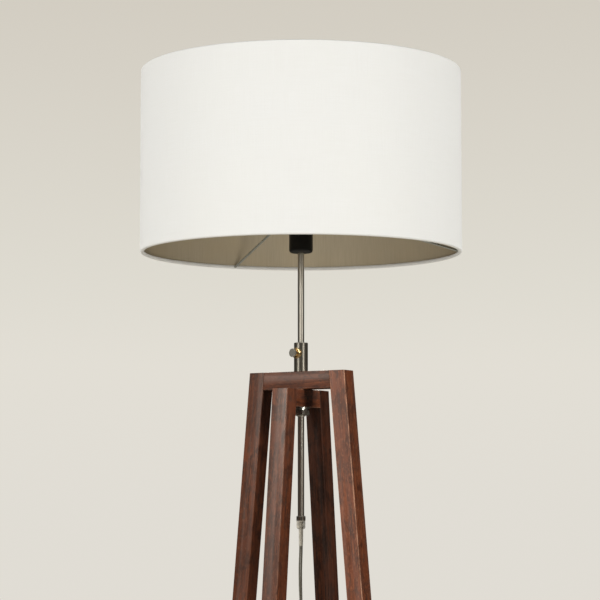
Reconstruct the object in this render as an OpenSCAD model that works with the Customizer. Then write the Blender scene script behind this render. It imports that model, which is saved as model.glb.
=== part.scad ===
// Floor lamp: two crossed wooden leg frames, a steel mast that slides and turns
// in a clamped sleeve, a lampholder on the mast and a drum shade on a wire spider.
// The frame that runs along X is the upper one, the frame along Y is the lower one.
// The origin is on the floor, on the axis of the mast. Lengths are in millimetres.

/* [Stand] */
// Height of the stand, from the floor to the top of the upper rail
stand_h = 1030; // [950:10:1150]
// Side of the square beams
beam_w = 27.5; // [26:0.5:29]
// Splay of every leg from the vertical, in degrees
splay = 5.2; // [4.5:0.1:6]
// Width across the top of the upper frame
upper_frame_w = 173; // [165:1:185]
// Width across the top of the lower frame
lower_frame_w = 120; // [114:1:122]
// Width of the chamfer along the beams' long edges
beam_chamfer = 1; // [0.5:0.1:1.5]
// Diameter of the glide under each leg
glide_d = 20; // [16:1:24]
// Thickness of each glide
glide_t = 3; // [2:0.5:4]

/* [Clamp] */
// Outer diameter of the clamp sleeve
sleeve_d = 21.5; // [20:0.5:23]
// Height of the clamp sleeve above the upper rail
sleeve_h = 45; // [38:1:50]
// Diameter of the threaded stub that passes through both rails
stub_d = 14; // [13:0.5:15]
// Width across the flats of the nut on the stub
nut_af = 24; // [22:1:26]
// Height of the thumbscrew's axis above the upper rail
screw_z = 28.6; // [26:0.2:34]
// Turn of the thumbscrew from straight ahead, in degrees
screw_turn = -10; // [-30:5:30]
// Diameter of the thumbscrew's knob
knob_d = 13.2; // [12:0.2:16]
// Diameter of the brass boss behind the knob
boss_d = 16.8; // [15:0.2:19]

/* [Mast] */
// Outer diameter of the mast tube
mast_d = 10; // [10:1:10]
// Bottom of the shade above the upper rail, as the lamp is set
shade_rise = 184; // [175:1:195]
// Length of the mast tube that shows below the upper rail, as the lamp is set
mast_drop = 222; // [200:1:240]

/* [Lampholder] */
// Outer diameter of the lampholder's cap
holder_d = 37; // [36:0.5:38]
// Height of the lampholder's cap
cap_h = 32; // [30:1:34]
// Inner diameter of the brass screw shell, for an E27 lamp cap
shell_d = 26.6; // [26.4:0.1:27]

/* [Shade] */
// Outer diameter of the drum shade
shade_d = 500; // [450:10:520]
// Height of the drum shade
shade_h = 286; // [260:2:300]
// Diameter of the wire in the shade's rings and arms
wire_d = 4; // [3.5:0.5:4.5]
// Height of the spider's hub above the bottom edge of the shade
hub_rise = 71; // [71:1:71]
// Turn of the spider's first arm from +X, in degrees
spider_turn = 29; // [20:1:40]

/* [Cord] */
// Outer diameter of the two-core cord
cord_d = 5.6; // [5.4:0.1:5.8]
// Middle diameter of the stored coil's turns
coil_d = 58; // [56:1:60]

/* [Hidden] */
$fn = 64;

wood = [0.25, 0.16, 0.12];
steel = [0.62, 0.61, 0.58];
brass = [0.78, 0.62, 0.36];
black = [0.07, 0.07, 0.06];
white = [0.93, 0.93, 0.91];
clear = [0.80, 0.79, 0.74];
fabric = [0.95, 0.95, 0.92];
champagne = [0.55, 0.51, 0.42];

// A gap that lets two pieces of one body be put together
fit_gap = 0.05;
// The radial clearance of a shaft that slides or turns in its bore
running_gap = 0.08;
// A small overlap that makes a cut clean
cut = 1;

beam_span = beam_w / cos(splay);
lower_top_z = stand_h - beam_w;
rails_bottom_z = stand_h - 2 * beam_w;

dowel_d = 6;
dowel_l = 36;
dowel_spacing = 13;
pin_d = 4;
pin_l = 16;
pin_offset = 9.5;

washer_d = 28;
washer_t = 2;
lock_washer_d = 22;
lock_washer_t = 2.5;
nut_h = 8;
stub_bottom_z = rails_bottom_z - washer_t - lock_washer_t - nut_h - 1.5;
sleeve_bore_d = mast_d + 2 * running_gap;

stem_d = 5;
stem_tip = mast_d / 2 + 0.3;
boss_flange = sleeve_d / 2 + 1.8;
boss_face = boss_flange + 2;
boss_collar_d = 10;
neck_start = boss_face + 0.5;
knob_start = boss_face + 3.3;
knob_t = 2.8;
stem_end = knob_start + knob_t - 1.2;

shade_bottom_z = stand_h + shade_rise;
mast_bottom_z = stand_h - mast_drop - 4;
holder_z = shade_bottom_z + 1;
locknut_h = 3;
cap_wall = 2;
cap_floor = 3;
cap_neck_h = 6;
mast_top_z = holder_z + cap_neck_h + locknut_h + 1;
mast_bore_d = mast_d - 2;
insert_z = holder_z + 17;
insert_h = 13;
skirt_z = holder_z + cap_h;
skirt_h = 46;
hub_z = shade_bottom_z + hub_rise;
hub_t = 2;
hub_hole_d = 41;
hub_d = 54;
shell_wall = 0.6;
shell_z = skirt_z + 3;
shell_h = 31;
thread_d = 38.6;
flange_d = 47;
flange_t = 2.5;

cover_t = 1.2;
lining_t = 0.6;
ring_r = shade_d / 2 - cover_t - lining_t - wire_d / 2;
ring_inset = wire_d / 2 + 0.3;

ferrule_d = 14.1;
ferrule_h = 7;
gland_top_z = stand_h - mast_drop;
gland_nut_h = 13;
gland_bottom_z = gland_top_z - ferrule_h - gland_nut_h;
gland_sleeve_d = 7;
cord_exit_z = gland_bottom_z - 26;

drop_end_z = 60;
tie_t = 1.2;
tie_w = 4;
turn_pitch = 0.86 * cord_d;
coil_centre = [66, 85];
coil_h = cord_d + turn_pitch;

switch_pos = [95, -70];
switch_l = 80;
switch_w = 38;
switch_split_z = 11;
switch_h = 22;
switch_wall = 2;
button_d = 22;
button_rise = 4;
button_flange_d = 25;
relief_l = 22;
relief_d = 11.2;
relief_foot = 3;
switch_cord_z = 8;

plug_back = [-52, 105];
plug_l = 34;
plug_w = 35;
plug_t = 13.6;
pin_spacing = 18.6;
plug_pin_d = 4;
plug_pin_l = 19;

// Routes of the cord on the floor, as points on its centre line
cord_z = cord_d / 2;
switch_route = [
    [0, 0, drop_end_z], [0, 0, 53], [0, -2, 42], [2, -8, 29], [5, -17, 17], [10, -29, 8],
    [17, -43, 3.6], [23, -57, 2.8], [29, -72, 2.8], [35, -90, 2.8], [40, -110, 2.8],
    [42, -130, 2.9], [46, -145, 3.1], [56, -156, 3.6], [69, -160, 4.6], [82, -156, 5.8],
    [91, -146, 7], [95, -136, 7.8], [95, -126, 8]
];
coil_route = [
    [95, -14, 8], [95, -6, 8], [96, 6, 7.2], [97, 20, 5.6], [98, 35, 4.4], [99, 50, 4],
    [100, 66, 4], [100.4, 76, 4]
];
plug_route = [
    [66, 116.6, 8.7], [54, 116.4, 8.6], [42, 116, 7.8], [29, 114, 6.2], [15, 112, 4.4],
    [2, 109, 3.2], [-10, 106, 3.8], [-20, 105, 6], [-29, 105, 6.8], [-38, 105, 6.8]
];

function chamfered_square(side, c) = let (h = side / 2) [
    [h, -h + c], [h, h - c], [h - c, h], [-h + c, h],
    [-h, h - c], [-h, -h + c], [-h + c, -h], [h - c, -h]
];

// Points of an arc, from angle a to angle b, in n steps
function arc(centre, r, a, b, n = 8) = [
    for (i = [0 : n]) let (t = a + (b - a) * i / n) [centre[0] + r * cos(t), centre[1] + r * sin(t)]
];

// ---- Sweeping a round cord along a route ----

function unit(v) = v / norm(v);
function route_point(p, i) = p[max(0, min(len(p) - 1, i))];

// Catmull-Rom point between p[i] and p[i + 1]
function smooth_point(p, i, t) = let (
    a = route_point(p, i - 1),
    b = route_point(p, i),
    c = route_point(p, i + 1),
    d = route_point(p, i + 2)
) 0.5 * (2 * b + (c - a) * t + (2 * a - 5 * b + 4 * c - d) * t * t
    + (3 * b - 3 * c + d - a) * t * t * t);

function smooth_route(p, steps) = concat(
    [for (i = [0 : len(p) - 2], k = [0 : steps - 1]) smooth_point(p, i, k / steps)],
    [p[len(p) - 1]]
);

function tangents(p) = [
    for (i = [0 : len(p) - 1]) unit(route_point(p, i + 1) - route_point(p, i - 1))
];

// Normals that turn as little as they can along the route
function normals(t, i = 0, last = undef) = i >= len(t) ? [] : let (
    seed = is_undef(last) ? (abs(t[0][2]) > 0.9 ? [1, 0, 0] : [0, 0, 1]) : last,
    n = unit(seed - (seed * t[i]) * t[i])
) concat([n], normals(t, i + 1, n));

module swept_cord(route, steps, sides = 8) {
    path = smooth_route(route, steps);
    t = tangents(path);
    n = normals(t);
    count = len(path);
    r = cord_d / 2;
    points = [
        for (i = [0 : count - 1], k = [0 : sides - 1])
            path[i] + r * (cos(360 * k / sides) * n[i] + sin(360 * k / sides) * cross(t[i], n[i]))
    ];
    walls = [
        for (i = [0 : count - 2], k = [0 : sides - 1]) let (m = (k + 1) % sides)
            [i * sides + k, (i + 1) * sides + k, (i + 1) * sides + m, i * sides + m]
    ];
    start_cap = [for (k = [0 : sides - 1]) k];
    end_cap = [for (k = [sides - 1 : -1 : 0]) (count - 1) * sides + k];
    polyhedron(points, concat([start_cap], walls, [end_cap]), convexity = 6);
}

// ---- Shared shapes ----

module ring(r_in, r_out, h) {
    difference() {
        cylinder(h = h, r = r_out);
        translate([0, 0, -cut]) cylinder(h = h + 2 * cut, r = r_in);
    }
}

module wire_ring(z) {
    translate([0, 0, z]) rotate_extrude($fn = 96) translate([ring_r, 0]) circle(d = wire_d, $fn = 24);
}

// A prism on a rounded oblong, its length along Y
module oblong(l, w, h) {
    cylinder_y = (l - w) / 2;
    union() {
        translate([-w / 2, -cylinder_y, 0]) cube([w, 2 * cylinder_y, h]);
        for (side = [-1, 1]) translate([0, side * cylinder_y, 0]) cylinder(h = h, d = w);
    }
}

// ---- Stand: everything is drawn on the +X side, then turned to its place ----

// Half-width of a frame's outer edge at height z
function outer_edge(top_w, top_z, z) = top_w / 2 + tan(splay) * (top_z - z);

module dowel_row(top_w, top_z, gap) {
    joint_x = outer_edge(top_w, top_z, top_z - beam_w / 2) - beam_span;
    for (side = [-1, 1])
        translate([joint_x - dowel_l / 2 - gap, side * dowel_spacing / 2, top_z - beam_w / 2])
            rotate([0, 90, 0]) cylinder(h = dowel_l + 2 * gap, d = dowel_d + 2 * gap, $fn = 32);
}

module leg(top_w, top_z) {
    color(wood) difference() {
        intersection() {
            translate([top_w / 2 - beam_span / 2, 0, top_z]) rotate([0, -splay, 0])
                translate([0, 0, -top_z - 20]) linear_extrude(top_z + 40)
                    polygon(chamfered_square(beam_w, beam_chamfer));
            translate([0, -beam_w, glide_t]) cube([stand_h, 2 * beam_w, top_z - glide_t]);
        }
        dowel_row(top_w, top_z, fit_gap);
    }
}

// The pins are on the same diagonal of both rails: side is 1 for the rail along X
// and -1 for the rail that is turned to Y
module rail(top_w, top_z, side) {
    inner_top = top_w / 2 - beam_span;
    inner_bottom = inner_top + tan(splay) * beam_w;
    color(wood) difference() {
        intersection() {
            translate([-top_w, 0, top_z - beam_w / 2]) rotate([90, 0, 90])
                linear_extrude(2 * top_w) polygon(chamfered_square(beam_w, beam_chamfer));
            translate([0, beam_w, top_z]) rotate([90, 0, 0]) linear_extrude(2 * beam_w)
                polygon([[-inner_top, 0], [-inner_bottom, -beam_w], [inner_bottom, -beam_w], [inner_top, 0]]);
        }
        translate([0, 0, top_z - beam_w - cut]) cylinder(h = beam_w + 2 * cut, d = stub_d + 0.4);
        for (turn = [0, 180]) rotate([0, 0, turn]) dowel_row(top_w, top_z, fit_gap);
        translate([0, 0, lower_top_z]) scale([1, side, 1]) pin_pair(fit_gap);
    }
}

// Two pins on a diagonal stop the rails from turning on each other
module pin_pair(gap) {
    for (end = [-1, 1])
        translate([end * pin_offset, end * pin_offset, -pin_l / 2 - gap])
            cylinder(h = pin_l + 2 * gap, d = pin_d + 2 * gap, $fn = 32);
}

module glide(top_w, top_z) {
    foot_x = outer_edge(top_w, top_z, glide_t) - beam_span / 2;
    color(black) translate([foot_x, 0, 0]) rotate_extrude() polygon([
        [0, 0], [glide_d / 2 - 0.8, 0], [glide_d / 2, 0.8], [glide_d / 2, glide_t], [0, glide_t]
    ]);
}

module leg_right() { leg(upper_frame_w, stand_h); }
module leg_left() { rotate([0, 0, 180]) leg(upper_frame_w, stand_h); }
module leg_front() { rotate([0, 0, -90]) leg(lower_frame_w, lower_top_z); }
module leg_back() { rotate([0, 0, 90]) leg(lower_frame_w, lower_top_z); }
module upper_rail() { rail(upper_frame_w, stand_h, 1); }
module lower_rail() { rotate([0, 0, 90]) rail(lower_frame_w, lower_top_z, -1); }
module glide_right() { glide(upper_frame_w, stand_h); }
module glide_left() { rotate([0, 0, 180]) glide(upper_frame_w, stand_h); }
module glide_front() { rotate([0, 0, -90]) glide(lower_frame_w, lower_top_z); }
module glide_back() { rotate([0, 0, 90]) glide(lower_frame_w, lower_top_z); }

module frame_dowels() {
    color(wood) {
        for (turn = [0, 180]) rotate([0, 0, turn]) dowel_row(upper_frame_w, stand_h, 0);
        for (turn = [-90, 90]) rotate([0, 0, turn]) dowel_row(lower_frame_w, lower_top_z, 0);
    }
}

module rail_pins() {
    color(steel) translate([0, 0, lower_top_z]) pin_pair(0);
}

// ---- Clamp ----

// Places a shape so that its +Z runs outwards along the thumbscrew's axis
module on_screw_axis() {
    translate([0, 0, stand_h + screw_z]) rotate([0, 0, screw_turn]) rotate([90, 0, 0]) children();
}

module clamp_sleeve() {
    top = stand_h + sleeve_h;
    bore_r = sleeve_bore_d / 2;
    color(steel) difference() {
        rotate_extrude() polygon([
            [bore_r, stub_bottom_z], [stub_d / 2 - 0.8, stub_bottom_z], [stub_d / 2, stub_bottom_z + 0.8],
            [stub_d / 2, stand_h], [sleeve_d / 2, stand_h], [sleeve_d / 2, top - 0.6],
            [sleeve_d / 2 - 0.6, top], [bore_r + 0.4, top], [bore_r, top - 0.4]
        ]);
        on_screw_axis() cylinder(h = sleeve_d, d = stem_d + 0.2, $fn = 32);
    }
}

// A round flange with a rolled edge, and a collar that guides the thumbscrew
module clamp_boss() {
    roll = 1.2;
    collar_r = boss_collar_d / 2;
    color(brass) difference() {
        on_screw_axis() rotate_extrude() polygon(concat(
            [[stem_d / 2 + 0.1, 0], [boss_d / 2, 0]],
            [for (a = [0 : 15 : 90])
                [boss_d / 2 - roll + roll * cos(a), boss_flange - roll + roll * sin(a)]],
            [[collar_r, boss_flange], [collar_r, boss_face - 0.5], [collar_r - 0.5, boss_face],
                [stem_d / 2 + 0.1, boss_face]]
        ));
        translate([0, 0, stand_h]) cylinder(h = sleeve_h + cut, d = sleeve_d);
    }
}

module flat_washer() {
    color(steel) translate([0, 0, rails_bottom_z - washer_t]) ring(stub_d / 2 + 0.3, washer_d / 2, washer_t);
}

// A split spring washer
module lock_washer() {
    color(steel) translate([0, 0, rails_bottom_z - washer_t - lock_washer_t]) difference() {
        ring(stub_d / 2 + 0.2, lock_washer_d / 2, lock_washer_t);
        rotate([0, 20, 0]) translate([0, -0.7, -lock_washer_d]) cube([lock_washer_d, 1.4, 2 * lock_washer_d]);
    }
}

// A hexagonal nut with turned corners
module clamp_nut() {
    corner_r = nut_af / 2 / cos(30);
    color(steel) translate([0, 0, rails_bottom_z - washer_t - lock_washer_t - nut_h]) difference() {
        intersection() {
            rotate([0, 0, 10]) cylinder(h = nut_h, r = corner_r, $fn = 6);
            rotate_extrude() polygon([
                [0, 0], [nut_af / 2, 0], [corner_r, 1.2], [corner_r, nut_h - 1.2], [nut_af / 2, nut_h], [0, nut_h]
            ]);
        }
        translate([0, 0, -cut]) cylinder(h = nut_h + 2 * cut, d = stub_d + 2 * fit_gap);
    }
}

module thumbscrew_stem() {
    color(steel) on_screw_axis() translate([0, 0, stem_tip]) rotate_extrude($fn = 48) polygon([
        [0, 0], [stem_d / 2 - 0.7, 0], [stem_d / 2, 0.7], [stem_d / 2, stem_end - stem_tip],
        [0, stem_end - stem_tip]
    ]);
}

// A knurled knob with a short neck and a blind hole for the stem
module thumbscrew_knob() {
    ridges = 28;
    color(steel) on_screw_axis() difference() {
        rotate_extrude() polygon([
            [0, neck_start], [4, neck_start], [4, knob_start], [knob_d / 2 - 0.6, knob_start],
            [knob_d / 2, knob_start + 0.6], [knob_d / 2, knob_start + knob_t - 0.6],
            [knob_d / 2 - 0.6, knob_start + knob_t], [0, knob_start + knob_t]
        ]);
        translate([0, 0, neck_start - cut])
            cylinder(h = stem_end + 0.3 - neck_start + cut, d = stem_d + 2 * running_gap, $fn = 32);
        for (i = [0 : ridges - 1]) rotate([0, 0, 360 * i / ridges])
            translate([knob_d / 2 + 0.25, 0, knob_start - cut])
                cylinder(h = knob_t + 2 * cut, d = 1, $fn = 16);
    }
}

// ---- Mast and lampholder ----

module mast_tube() {
    color(steel) translate([0, 0, mast_bottom_z])
        ring(mast_bore_d / 2, mast_d / 2, mast_top_z - mast_bottom_z);
}

// A nut inside the cap, on its neck
module holder_locknut() {
    color(steel) translate([0, 0, holder_z + cap_neck_h]) difference() {
        cylinder(h = locknut_h, d = 15);
        translate([0, 0, -cut]) cylinder(h = locknut_h + 2 * cut, d = mast_d + 2 * fit_gap);
        for (turn = [0 : 60 : 300]) rotate([0, 0, turn]) translate([6.9, -10, -cut])
            cube([5, 20, locknut_h + 2 * cut]);
    }
}

// A cup with a rounded foot, screwed on the top of the mast
module holder_cap() {
    r = holder_d / 2;
    foot_r = 5;
    bore_r = mast_d / 2 + fit_gap;
    color(black) translate([0, 0, holder_z]) rotate_extrude() polygon(concat(
        [[bore_r, 0]],
        arc([r - foot_r, foot_r], foot_r, -90, 0),
        [[r, cap_h], [r - cap_wall, cap_h], [r - cap_wall, foot_r + 1]],
        arc([r - foot_r, foot_r + 1], foot_r - cap_wall, 0, -90),
        [[bore_r + 3, cap_floor], [bore_r + 3, cap_neck_h], [bore_r, cap_neck_h]]
    ));
}

module holder_insert() {
    color(white) translate([0, 0, insert_z]) difference() {
        cylinder(h = insert_h, r = holder_d / 2 - cap_wall - 0.3);
        for (side = [-1, 1]) {
            translate([side * 9, 0, insert_h - 8]) cylinder(h = 9, d = 3.2, $fn = 32);
            translate([side * 9 - 2.5, -12.5, -cut]) cube([5, 6, insert_h - 7]);
        }
        translate([-2.6, -6.6, insert_h - 3.9]) cube([5.2, 13.2, 5]);
    }
}

// The sprung centre tongue and the two wire clamps
module holder_contacts() {
    color(brass) translate([0, 0, insert_z]) {
        translate([-2.2, -6, insert_h - 3.9]) cube([4.4, 12, 0.8]);
        translate([-2.2, -6, insert_h - 3.1]) cube([4.4, 0.8, 4.5]);
        translate([-2.2, -6, insert_h + 1.4]) cube([4.4, 8, 0.8]);
        for (side = [-1, 1]) translate([side * 9 - 2.2, -12, 0]) cube([4.4, 5, insert_h - 9]);
    }
}

module terminal_screws() {
    color(steel) translate([0, 0, insert_z + insert_h - 7]) for (side = [-1, 1])
        translate([side * 9, 0, 0]) difference() {
            union() {
                cylinder(h = 7, d = 3, $fn = 32);
                translate([0, 0, 7]) cylinder(h = 1.6, d = 5.2, $fn = 32);
            }
            translate([-3, -0.4, 8]) cube([6, 0.8, 2]);
        }
}

// The brass shell that an E27 lamp cap screws into
module screw_shell() {
    r = shell_d / 2;
    color(brass) translate([0, 0, shell_z]) rotate_extrude() polygon([
        [r - 4, 0], [r + shell_wall, 0], [r + shell_wall, shell_h], [r, shell_h], [r, shell_wall],
        [r - 4, shell_wall]
    ]);
}

// The threaded outer body, with a collar that the spider's hub rests on
module holder_skirt() {
    r = holder_d / 2;
    inner_r = shell_d / 2 + shell_wall + 0.6;
    thread_r = thread_d / 2;
    collar_z = hub_z - skirt_z - flange_t;
    ridge_z = collar_z + flange_t + hub_t;
    color(black) translate([0, 0, skirt_z]) difference() {
        union() {
            cylinder(h = collar_z, r = r);
            translate([0, 0, collar_z]) cylinder(h = flange_t, d = flange_d);
            cylinder(h = skirt_h, r = thread_r - 1);
            for (z = [ridge_z : 2.5 : skirt_h - 2.5]) translate([0, 0, z])
                cylinder(h = 1.2, r = thread_r);
            for (i = [0 : 23]) rotate([0, 0, 15 * i]) translate([r - 0.2, 0, 1.5])
                cylinder(h = collar_z - 4, d = 1.6, $fn = 16);
        }
        translate([0, 0, 3]) cylinder(h = skirt_h, r = inner_r);
        translate([0, 0, -cut]) cylinder(h = 5, r = inner_r - 2);
    }
}

// The ring that is screwed down on the spider's hub
module shade_ring() {
    grips = 30;
    h = 8;
    color(black) translate([0, 0, hub_z + hub_t]) difference() {
        cylinder(h = h, d = 56);
        translate([0, 0, -cut]) cylinder(h = h + 2 * cut, d = thread_d + 0.6);
        translate([0, 0, 2.5]) cylinder(h = h, d = 50.5);
        for (i = [0 : grips - 1]) rotate([0, 0, 360 * i / grips]) translate([28.6, 0, -cut])
            cylinder(h = h + 2 * cut, d = 2.2, $fn = 16);
    }
}

// ---- Cord gland at the foot of the mast ----

module gland_ferrule() {
    r = ferrule_d / 2;
    bore_r = mast_d / 2 + fit_gap;
    color(steel) translate([0, 0, gland_top_z - ferrule_h]) rotate_extrude() polygon([
        [3.4, 0], [r, 0], [r, ferrule_h - 0.8], [r - 0.8, ferrule_h], [bore_r, ferrule_h], [bore_r, 3], [3.4, 3]
    ]);
}

module gland_nut() {
    r = ferrule_d / 2 - 0.3;
    color(clear) translate([0, 0, gland_bottom_z]) rotate_extrude() polygon(concat(
        [[gland_sleeve_d / 2 + 0.1, 0]],
        arc([r - 3, 3], 3, -90, 0),
        [[r, gland_nut_h], [gland_sleeve_d / 2 + 0.1, gland_nut_h]]
    ));
}

// The soft sleeve that keeps the cord straight where it leaves the gland
module gland_sleeve() {
    bore_r = cord_d / 2 + fit_gap;
    top = gland_bottom_z - cord_exit_z + 10;
    color(clear) translate([0, 0, cord_exit_z]) rotate_extrude($fn = 48) polygon([
        [bore_r, 0], [bore_r + 0.3, 0], [gland_sleeve_d / 2, 20], [gland_sleeve_d / 2, top], [bore_r, top]
    ]);
}

module inner_cord() {
    color(clear) translate([0, 0, cord_exit_z])
        cylinder(h = insert_z - 1 - cord_exit_z, d = cord_d, $fn = 32);
}

// ---- Shade ----

module shade_cover() {
    color(fabric) translate([0, 0, shade_bottom_z]) ring(shade_d / 2 - cover_t, shade_d / 2, shade_h, $fn = 128);
}

module shade_lining() {
    outer_r = shade_d / 2 - cover_t;
    color(champagne) translate([0, 0, shade_bottom_z]) ring(outer_r - lining_t, outer_r, shade_h, $fn = 128);
}

module shade_top_ring() { color(steel) wire_ring(shade_bottom_z + shade_h - ring_inset); }
module shade_bottom_ring() { color(steel) wire_ring(shade_bottom_z + ring_inset); }

module spider_hub() {
    color(steel) translate([0, 0, hub_z]) ring(hub_hole_d / 2, hub_d / 2, hub_t);
}

// One straight wire from the hub down to the bottom ring
module spider_arm(turn) {
    inner = [hub_d / 2 - 2.5, hub_z - wire_d / 2 + 0.4];
    outer = [ring_r, shade_bottom_z + ring_inset];
    slope = outer - inner;
    color(steel) rotate([0, 0, spider_turn + turn]) translate([inner[0], 0, inner[1]])
        rotate([0, 90 - atan2(slope[1], slope[0]), 0]) cylinder(h = norm(slope), d = wire_d, $fn = 24);
}

module spider_arm_right() { spider_arm(0); }
module spider_arm_left() { spider_arm(120); }
module spider_arm_front() { spider_arm(240); }

// ---- Cord ----

module cord_drop() {
    color(clear) translate([0, 0, drop_end_z]) cylinder(h = cord_exit_z - drop_end_z, d = cord_d, $fn = 32);
}

module cord_to_switch() { color(clear) swept_cord(switch_route, 2); }
module cord_to_coil() { color(clear) swept_cord(coil_route, 1); }
module cord_to_plug() { color(clear) swept_cord(plug_route, 1); }

// Three turns side by side with two more on top of them
module cord_coil() {
    color(clear) translate([coil_centre[0], coil_centre[1], tie_t]) rotate_extrude() polygon([
        [coil_d / 2 - 1.5 * cord_d, 0], [coil_d / 2 + 1.5 * cord_d, 0], [coil_d / 2 + 1.5 * cord_d, 3],
        [coil_d / 2 + cord_d, coil_h], [coil_d / 2 - cord_d, coil_h], [coil_d / 2 - 1.5 * cord_d, 3]
    ]);
}

// A cable tie round all the turns, with its lock on the outside
module coil_tie() {
    inner_l = 3 * cord_d + 0.4;
    inner_h = coil_h + 0.2;
    color(white) translate([coil_centre[0], coil_centre[1], 0]) rotate([0, 0, 215])
        translate([coil_d / 2 - inner_l / 2, 0, 0]) {
            difference() {
                translate([-tie_t, -tie_w / 2, 0]) cube([inner_l + 2 * tie_t, tie_w, inner_h + 2 * tie_t]);
                translate([0, -tie_w, tie_t]) cube([inner_l, 2 * tie_w, inner_h]);
            }
            translate([inner_l + tie_t, -3, 3]) cube([4, 6, 6]);
        }
}

// ---- Foot switch ----

module at_switch() { translate([switch_pos[0], switch_pos[1], 0]) children(); }

module switch_base() {
    color(white) at_switch() difference() {
        union() {
            difference() {
                oblong(switch_l, switch_w, switch_split_z);
                translate([0, 0, switch_wall])
                    oblong(switch_l - 2 * switch_wall, switch_w - 2 * switch_wall, switch_split_z);
            }
            for (side = [-1, 1]) translate([0, side * 27, 0]) cylinder(h = switch_split_z, d = 8);
            translate([0, 0, switch_wall]) cylinder(h = 2, d = 7);
        }
        for (side = [-1, 1]) {
            translate([0, side * 27, -cut]) cylinder(h = switch_split_z + 2 * cut, d = 3.2, $fn = 32);
            translate([0, side * 27, -cut]) cylinder(h = 3.2, d = 6.4);
            translate([0, side * switch_l / 2, switch_cord_z]) rotate([90, 0, 0])
                cylinder(h = 10, d = relief_d + 2 * fit_gap, center = true, $fn = 48);
        }
    }
}

module switch_cover() {
    rise = switch_h - switch_split_z;
    color(white) at_switch() translate([0, 0, switch_split_z]) difference() {
        union() {
            difference() {
                oblong(switch_l, switch_w, rise);
                translate([0, 0, -switch_wall])
                    oblong(switch_l - 2 * switch_wall, switch_w - 2 * switch_wall, rise);
            }
            for (side = [-1, 1]) translate([0, side * 27, 0]) cylinder(h = rise - cut, d = 8);
        }
        translate([0, 0, -cut]) cylinder(h = rise + 2 * cut, d = button_d + 0.8);
        for (side = [-1, 1]) {
            translate([0, side * 27, -cut]) cylinder(h = 7, d = 2.6, $fn = 32);
            translate([0, side * switch_l / 2, switch_cord_z - switch_split_z]) rotate([90, 0, 0])
                cylinder(h = 10, d = relief_d + 2 * fit_gap, center = true, $fn = 48);
        }
    }
}

module switch_button() {
    top = switch_h + button_rise;
    flange_top = switch_h - switch_wall - 0.4;
    color(white) at_switch() rotate_extrude() polygon([
        [0, 15], [6, 15], [6, 12.5], [8, 12.5], [8, 16], [button_flange_d / 2, 16],
        [button_flange_d / 2, flange_top], [button_d / 2, flange_top], [button_d / 2, top - 1.5],
        [button_d / 2 - 1.5, top], [0, top]
    ]);
}

module switch_spring() {
    color(steel) at_switch() translate([0, 0, switch_wall + 2]) ring(3, 4, 15 - switch_wall - 2);
}

module switch_contacts() {
    color(brass) at_switch() for (side = [-1, 1])
        translate([side * 9 - 2, -18, switch_wall]) cube([4, 36, 4]);
}

module switch_screws() {
    color(steel) at_switch() for (side = [-1, 1]) translate([0, side * 27, 0.6]) difference() {
        union() {
            cylinder(h = 1.6, d = 5.6, $fn = 32);
            cylinder(h = 15, d = 2.5, $fn = 32);
        }
        for (turn = [0, 90]) rotate([0, 0, turn]) translate([-2, -0.4, -cut]) cube([4, 0.8, 1.8]);
    }
}

// A tapered sleeve on the cord; its foot reaches into the housing by the given length
module relief(foot) {
    bore_r = cord_d / 2 + fit_gap;
    r = relief_d / 2;
    rotate_extrude($fn = 48) polygon([
        [bore_r, -foot], [r, -foot], [r, 2], [r - 0.6, 5], [3.4, relief_l], [bore_r, relief_l]
    ]);
}

module switch_relief_front() {
    color(white) translate([switch_pos[0], switch_pos[1] - switch_l / 2, switch_cord_z])
        rotate([90, 0, 0]) relief(relief_foot);
}

module switch_relief_back() {
    color(white) translate([switch_pos[0], switch_pos[1] + switch_l / 2, switch_cord_z])
        rotate([-90, 0, 0]) relief(relief_foot);
}

// ---- Plug: two round pins on a flat body, lying on its side on the floor ----

module at_plug() {
    translate([plug_back[0], plug_back[1], plug_t / 2]) rotate([0, -90, 0]) children();
}

module plug_body() {
    half_w = plug_w / 2;
    back_w = 7.5;
    color(white) translate([plug_back[0], plug_back[1], 0]) linear_extrude(plug_t) polygon(concat(
        [[0, -back_w], [0, back_w], [-10, half_w - 4]],
        arc([-16, half_w - 4], 4, 60, 150, 6),
        [[-24, half_w - 6], [-plug_l, half_w - 6], [-plug_l, 6 - half_w], [-24, 6 - half_w]],
        arc([-16, 4 - half_w], 4, 210, 300, 6),
        [[-10, 4 - half_w]]
    ));
}

module plug_relief() {
    color(white) translate([plug_back[0], plug_back[1], plug_t / 2]) rotate([0, 90, 0]) relief(0);
}

module plug_pins() {
    color(steel) at_plug() for (side = [-1, 1]) translate([0, side * pin_spacing / 2, plug_l])
        rotate_extrude($fn = 32) polygon([
            [0, 0], [plug_pin_d / 2, 0], [plug_pin_d / 2, plug_pin_l - 1],
            [plug_pin_d / 2 - 1, plug_pin_l], [0, plug_pin_l]
        ]);
}

leg_right();
leg_left();
leg_front();
leg_back();
upper_rail();
lower_rail();
frame_dowels();
rail_pins();
glide_right();
glide_left();
glide_front();
glide_back();
clamp_sleeve();
clamp_boss();
flat_washer();
lock_washer();
clamp_nut();
thumbscrew_stem();
thumbscrew_knob();
mast_tube();
holder_locknut();
holder_cap();
holder_insert();
holder_contacts();
terminal_screws();
screw_shell();
holder_skirt();
shade_ring();
gland_ferrule();
gland_nut();
gland_sleeve();
inner_cord();
shade_cover();
shade_lining();
shade_top_ring();
shade_bottom_ring();
spider_hub();
spider_arm_right();
spider_arm_left();
spider_arm_front();
cord_drop();
cord_to_switch();
cord_to_coil();
cord_coil();
coil_tie();
cord_to_plug();
switch_base();
switch_cover();
switch_button();
switch_spring();
switch_contacts();
switch_screws();
switch_relief_front();
switch_relief_back();
plug_body();
plug_relief();
plug_pins();
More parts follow.
